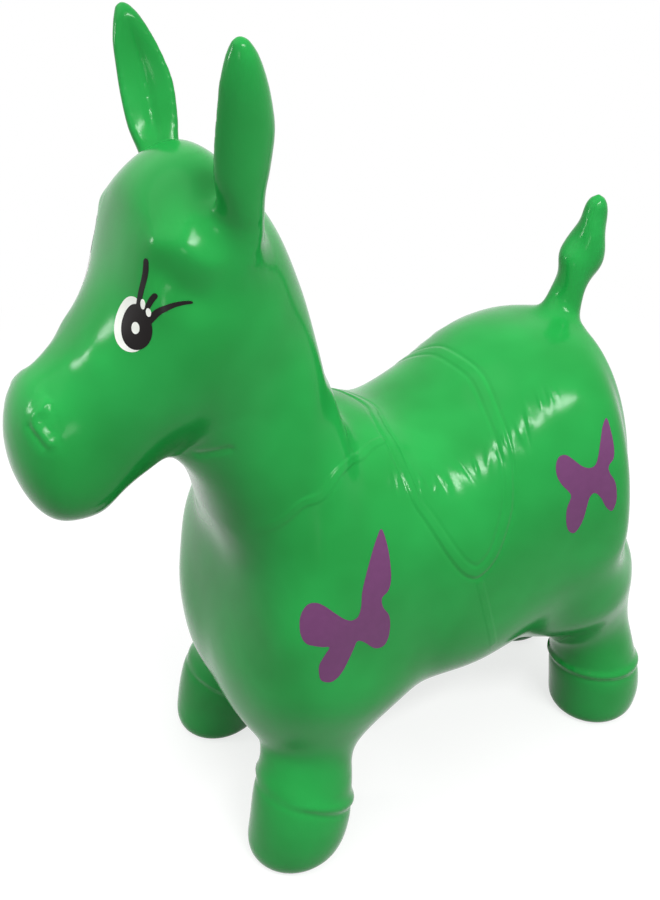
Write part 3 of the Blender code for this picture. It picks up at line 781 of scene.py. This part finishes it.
for side, sideName in ((-1, "left"), (1, "right")):
    base = toSide(ears["base"], side)
    line = [base, base + toSide(ears["reach"], side)]
    up = toSide(folds["earUp"], -side)
    takeFaces(sideName + "_ear_skin", line, up, folds["earCut"], folds["earEnd"], folds["earReach"],
              sideName + "_ear", [sideName + "_ear", sideName + "_ear_root"])
    for place in ("front", "rear"):
        foot, hip = (np.array(legs[place][spot]) * [1, side] for spot in ("foot", "hip"))
        name = sideName + "_" + place
        start, end = (Vector((*foot, z)) * mm for z in (folds["footStart"], folds["footEnd"]))
        middle = foot * (1 - folds["towardsHip"]) + hip * folds["towardsHip"]
        away = np.linalg.norm(centres[:, :2] - middle, axis=1)
        owner[(away < folds["footReach"]) & (centres[:, 2] < folds["footCut"]) & (owner == 0)] = len(pieces)
        nodes = [name + "_leg", name + "_hoof"]
        pieces.append((name + "_foot_skin", name + "_hoof", "skin", start, end, nodes))
base = Vector(tail["base"])
takeFaces("tail_skin", [base, base + Vector(tail["reach"])], tail["reach"], folds["tailCut"],
          folds["tailEnd"], folds["tailReach"], "tail", ["tail", "tail_root"])

fromValve = np.hypot(centres[:, 0] - valve["x"], centres[:, 1])
low = centres[:, 2] < valve["bottom"] + valve["holeDepth"]
owner[(fromValve < valve["hole"]) & low] = -1       # the boss fills this hole

allFaces = [tuple(polygon.vertices) for polygon in fused.polygons]
finalTree = BVHTree.FromPolygons([Vector(point) for point in co], allFaces)
bpy.data.objects.remove(skinObject)
for number, (name, bodyName, other, start, end, nodes) in enumerate(pieces):
    chosen = [allFaces[i] for i in np.where(owner == number)[0]]
    used = sorted({i for face in chosen for i in face})
    place = {old: new for new, old in enumerate(used)}
    mesh = bpy.data.meshes.new(name)
    mesh.from_pydata(co[used].tolist(), [], [[place[i] for i in face] for face in chosen])
    mesh.materials.append(greenPvc)
    mesh.polygons.foreach_set("use_smooth", [True] * len(mesh.polygons))
    mesh.normals_split_custom_set_from_vertices(normals[used].tolist())
    piece = addObject(name, mesh)
    if other:
        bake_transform(piece)
    else:
        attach(piece, bodyName)
    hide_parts(*nodes)
    print("piece:", name, len(mesh.polygons), "faces")


def turnedMesh(name, profile):      # turned about Z; a ring where no radius is zero
    bm = bmesh.new()
    rows = []
    for radius, height in profile:
        count = valve["segments"] if radius else 1
        rows.append([bm.verts.new(Vector((
            valve["x"] + radius * math.cos(math.tau * i / count), radius * math.sin(math.tau * i / count),
            valve["bottom"] + height)) * mm) for i in range(count)])
    pairs = list(zip(rows, rows[1:]))
    if len(rows[0]) > 1:
        pairs.append((rows[-1], rows[0]))
    for a, b in pairs:
        addBand(bm, a, b)
    return finishedMesh(bm, name)


for name, profile, material, bodyName, slotName, node in (
        ("valve_boss", valve["boss"], greenPvc, "skin", "valve", "valve_seat"),
        ("valve_stopper", valve["stopper"], stopperPlastic, "valve_plug", "plug", "valve_plug")):
    piece = addObject(name, turnedMesh(name, profile))
    piece.data.materials.append(material)
    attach(piece, bodyName)
    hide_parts(node)
print("stage: valve")

# Prints: thin films of ink on the skin, in mm. Each has a place on the left side, the way that place faces,
# and outlines as mm across and up there; the right side has its mirror image. Lifts are above the skin.
prints = {
    "cast": 40, "under": 0.15, "grid": 1.5, "gridMargin": 0.6, "loopSteps": 4, "capSteps": 5, "ovalSteps": 40,
    "lifts": {"butterfly": 0.12, "white": 0.10, "black": 0.16, "shine": 0.22, "gap": 0.22, "lash": 0.17},
    "lashStep": 0.005,
    "shoulder": ((-63.8, -100.6, 213.4), (-0.05, -0.99, 0.12)),
    "rump": ((123, -98.7, 263.9), (-0.2, -0.95, 0.23)),
    "eye": ((-166.2, -46.1, 413.2), (-0.87, -0.39, 0.3)),
    "shoulderButterfly": [
        (29.4, 53.1), (31.4, 45.8), (32.1, 32.9), (31.3, 19.6), (28.5, 12.8), (23.8, 9.4), (24.2, 2.7),
        (28.5, -4.9), (29.3, -13.7), (27.8, -22.8), (23.9, -27.5), (17, -26.3), (9.6, -18.7), (4.5, -16),
        (1.5, -21.1), (-2.5, -28), (-6.5, -34.2), (-11, -38.7), (-15.8, -40.4), (-21.5, -37.6),
        (-22.9, -31.3), (-22.4, -24.8), (-18.9, -18.8), (-15.4, -13.6), (-19.7, -12), (-25.5, -9.9),
        (-29.7, -7.7), (-31.9, -2.3), (-31.5, 5.8), (-29.2, 12.6), (-25.1, 17.6), (-20.1, 18.2),
        (-15.3, 15.1), (-9.6, 9.2), (-3.3, 3.2), (1.5, 1), (5.8, 2.5), (8.3, 8.9), (9.8, 18.3), (13.8, 28.6),
        (19.1, 39.3), (24.4, 47.8)],
    "rumpButterfly": [
        (16.2, 39.9), (18.1, 31.8), (19.4, 21.5), (18.8, 12.7), (14.6, 7.8), (15.3, 2.7), (19.6, -3.9),
        (21.7, -12.4), (21.6, -20.7), (18.8, -26.3), (13.5, -22.2), (9, -14.6), (4.1, -10.1), (0.4, -12.4),
        (-1.5, -18.9), (-3.2, -26.9), (-5.8, -33.4), (-10.2, -38), (-15.5, -34.5), (-17.7, -26.3),
        (-17.4, -17.4), (-14.4, -9.9), (-16.8, -5.2), (-21.4, -0.2), (-25, 6.7), (-25.2, 14.2),
        (-22.5, 19.2), (-17.3, 19.8), (-11.6, 15.6), (-5.9, 10.7), (0, 8.5), (4.6, 10.7), (7.2, 18.6),
        (9.5, 27.8), (12.1, 35.4)],
    # ovals: middle across and up, half width, half height
    "eyeTurn": 14, "white": (-3.1, -0.4, 12.7, 14.8), "black": (0.5, -1, 10.7, 12.2),
    "shine": (0.6, -1.5, 2.9, 3.2),
    "gaps": [(3.9, 12.0, 1.7, 2.7), (8.2, 8.6, 1.6, 2.3)],
    "lashes": [([(0.7, 7.8), (0.9, 12.6), (1.5, 18.5), (2.4, 24.6), (2.7, 29.8), (2.4, 34)], 4.0, 3.8),
               ([(5.9, 8), (8.1, 13.1), (9.5, 16.1), (10.6, 17.8)], 3.4, 3.2),
               ([(9, 4.6), (12.1, 8.5), (14.3, 10.9), (16.8, 13), (19.4, 15.2), (22.3, 17), (24.3, 17.8)],
                4.2, 1.6)],
}


def smoothLoop(outline, steps):     # closed curve through the points
    rows = between(outline[-2:] + outline + outline[:2], steps)
    return [tuple(row) for row in rows[2 * steps:-steps - 1]]


def ovalOutline(across, up, halfWidth, halfHeight):
    turn = math.radians(prints["eyeTurn"])
    points = []
    for i in range(prints["ovalSteps"]):
        angle = math.tau * i / prints["ovalSteps"]
        u, v = halfWidth * math.cos(angle), halfHeight * math.sin(angle)
        points.append((across + u * math.cos(turn) - v * math.sin(turn),
                       up + u * math.sin(turn) + v * math.cos(turn)))
    return points


def lashOutline(path, startWidth, endWidth):        # a stroke with round ends
    rows = [Vector(row) for row in between(path, prints["loopSteps"])]
    left, right, ends = [], [], []
    for i, row in enumerate(rows):
        way = (rows[min(i + 1, len(rows) - 1)] - rows[max(i - 1, 0)]).normalized()
        half = (startWidth + (endWidth - startWidth) * i / (len(rows) - 1)) / 2
        left.append(row + Vector((-way.y, way.x)) * half)
        right.append(row - Vector((-way.y, way.x)) * half)
        if i in (0, len(rows) - 1):
            turned = -1 if i == 0 else 1
            angles = [math.pi * (k + 1) / (prints["capSteps"] + 1) for k in range(prints["capSteps"])]
            ends.append([row + (way * math.sin(a) + Vector((way.y, -way.x)) * math.cos(a)) * half * turned
                         for a in angles])
    return [tuple(point) for point in right + ends[1] + left[::-1] + ends[0]]


def inkFilm(name, spot, outline, ink, lift, flip):
    middle, facing = Vector(spot[0]), Vector(spot[1]).normalized()
    across = Vector((0, 0, 1)).cross(facing).normalized()
    up = facing.cross(across)
    middle, facing, across, up = (toSide(place, flip) for place in (middle, facing, across, up))
    grid, corners = prints["grid"], np.array(outline)
    low, high = corners.min(0), corners.max(0)
    rows = np.meshgrid(np.arange(low[0], high[0], grid), np.arange(low[1], high[1], grid))
    inner = np.stack(rows, -1).reshape(-1, 2)
    fromRim = pathDistance(inner, outline + outline[:1])
    inner = inner[insideOutline(inner, outline) & (fromRim > grid * prints["gridMargin"])]
    flat = [Vector(point) for point in list(outline) + inner.tolist()]
    rim = [(i, (i + 1) % len(outline)) for i in range(len(outline))]
    points, _, faces = delaunay_2d_cdt(flat, rim, [], 1, 1e-5)[:3]
    top, bottom = [], []
    for point in points:
        start = (middle + across * point.x + up * point.y + facing * prints["cast"]) * mm
        hit, normal = finalTree.ray_cast(start, -facing)[:2]
        top.append(hit + normal * lift * mm)
        bottom.append(hit - normal * prints["under"] * mm)
    bm = bmesh.new()
    verts = [bm.verts.new(point) for point in top + bottom]
    count = len(top)
    sides = {(a, b) for face in faces for a, b in zip(face, face[1:] + face[:1])}
    for face in faces:
        bm.faces.new([verts[i] for i in face])
        bm.faces.new([verts[i + count] for i in reversed(face)])
    for a, b in sides:
        if (b, a) not in sides:
            bm.faces.new([verts[b], verts[a], verts[a + count], verts[b + count]])
            bm.edges.get((verts[a], verts[b])).smooth = False
            bm.edges.get((verts[a + count], verts[b + count])).smooth = False
    mesh = finishedMesh(bm, name)
    mesh.materials.append(ink)
    piece = addObject(name, mesh)
    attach(piece, "skin")
    print("piece:", name, len(mesh.polygons), "faces")


lifts = prints["lifts"]
for flip, sideName in ((1, "left"), (-1, "right")):
    for spot in ("shoulder", "rump"):
        outline = smoothLoop(prints[spot + "Butterfly"], prints["loopSteps"])
        inkFilm(f"{sideName}_{spot}_butterfly", prints[spot], outline, purpleInk, lifts["butterfly"], flip)
    for part, ink in (("white", whiteInk), ("black", blackInk), ("shine", whiteInk)):
        inkFilm(f"{sideName}_eye_{part}", prints["eye"], ovalOutline(*prints[part]), ink, lifts[part], flip)
    for number, lash in enumerate(prints["lashes"]):
        lift = lifts["lash"] + prints["lashStep"] * number
        inkFilm(f"{sideName}_lash_{number}", prints["eye"], lashOutline(*lash), blackInk, lift, flip)
    for number, gap in enumerate(prints["gaps"]):
        outline = ovalOutline(*gap)
        inkFilm(f"{sideName}_eye_gap_{number}", prints["eye"], outline, whiteInk, lifts["gap"], flip)
print("stage: prints")

# Floor and light: a pale sweep that reads white, a soft overhead glow, and lamps where the gloss shows them
studio = {
    "floor": "#949494", "floorHalf": 3, "floorGlow": 0.75, "fadeStart": 0.45, "fadeEnd": 1.1,
    "skyLow": 0.06, "skyTop": 2.1, "skyFall": 4, "aim": (0, 0, 0.28),
    "boxes": [  # turn, pitch, distance in m, width, height, watts
        ("side_strip", 8, 47, 1.5, 0.9, 0.17, 16),
        ("key_box", -105, 56, 1.9, 2.0, 1.7, 6),
        ("low_spot", -113, 23, 1.3, 0.22, 0.24, 2.6),
        ("camera_fill", -42, 17, 1.5, 0.3, 0.3, 1.2),
    ],
}


def seenWhite(tree):                # 1 for what the camera, a reflection or clear plastic sees
    path = addNode(tree, "ShaderNodeLightPath")
    seen = path.outputs["Is Camera Ray"]
    for kind in ("Is Glossy Ray", "Is Transmission Ray"):
        both = addNode(tree, "ShaderNodeMath", {"operation": "MAXIMUM"}, {0: seen, 1: path.outputs[kind]})
        seen = both.outputs[0]
    return seen


floorMaterial, tree = newMaterial("pale_studio_floor")
seen = seenWhite(tree)
diffuse = addNode(tree, "ShaderNodeBsdfDiffuse", {"Color": linear(studio["floor"])})
glow = addNode(tree, "ShaderNodeMath", {"operation": "MULTIPLY", 1: studio["floorGlow"]}, {0: seen})
emission = addNode(tree, "ShaderNodeEmission", {"Color": (1, 1, 1, 1)}, {"Strength": glow.outputs[0]})
near = addNode(tree, "ShaderNodeAddShader", links={0: diffuse.outputs[0], 1: emission.outputs[0]})
white = addNode(tree, "ShaderNodeEmission", {"Color": (1, 1, 1, 1)})
far = addNode(tree, "ShaderNodeMixShader", links={0: seen, 1: diffuse.outputs[0], 2: white.outputs[0]})
place = addNode(tree, "ShaderNodeTexCoord").outputs["Object"]
away = addNode(tree, "ShaderNodeVectorMath", {"operation": "LENGTH"}, {0: place})
fade = addNode(tree, "ShaderNodeMapRange", {
    "interpolation_type": "SMOOTHSTEP", "From Min": studio["fadeStart"], "From Max": studio["fadeEnd"],
}, {"Value": away.outputs["Value"]})
both = addNode(tree, "ShaderNodeMixShader", links={0: fade.outputs[0], 1: near.outputs[0], 2: far.outputs[0]})
addNode(tree, "ShaderNodeOutputMaterial", links={"Surface": both.outputs[0]})
floorMesh = bpy.data.meshes.new("floor")
half = studio["floorHalf"]
corners = [(-half, -half, 0), (half, -half, 0), (half, half, 0), (-half, half, 0)]
floorMesh.from_pydata(corners, [], [(0, 1, 2, 3)])
floorMesh.materials.append(floorMaterial)
floor = addObject("floor", floorMesh)

world = bpy.data.worlds.new("studio")
bpy.context.scene.world = world
world.use_nodes = True
tree = world.node_tree
tree.nodes.clear()
direction = addNode(tree, "ShaderNodeTexCoord").outputs["Generated"]
upward = addNode(tree, "ShaderNodeSeparateXYZ", links={0: direction}).outputs["Z"]
upward = addNode(tree, "ShaderNodeMath", {"operation": "MAXIMUM", 1: 0.0}, {0: upward}).outputs[0]
upward = addNode(tree, "ShaderNodeMath", {"operation": "POWER", 1: studio["skyFall"]}, {0: upward}).outputs[0]
soft = addNode(tree, "ShaderNodeMapRange", {"To Min": studio["skyLow"], "To Max": studio["skyTop"]},
               {"Value": upward})
strength = addNode(tree, "ShaderNodeMapRange", {"To Max": 1.0},
                   {"Value": seenWhite(tree), "To Min": soft.outputs[0]})
sky = addNode(tree, "ShaderNodeBackground", {"Color": (1, 1, 1, 1)}, {"Strength": strength.outputs[0]})
addNode(tree, "ShaderNodeOutputWorld", links={"Surface": sky.outputs[0]})

for name, turn, pitch, distance, width, height, watts in studio["boxes"]:
    lamp = bpy.data.lights.new(name, "AREA")
    lamp.shape = "ELLIPSE"
    lamp.size = width
    lamp.size_y = height
    lamp.energy = watts
    lookAlong(addObject(name, lamp), turn, pitch, distance, studio["aim"])
print("stage: studio")
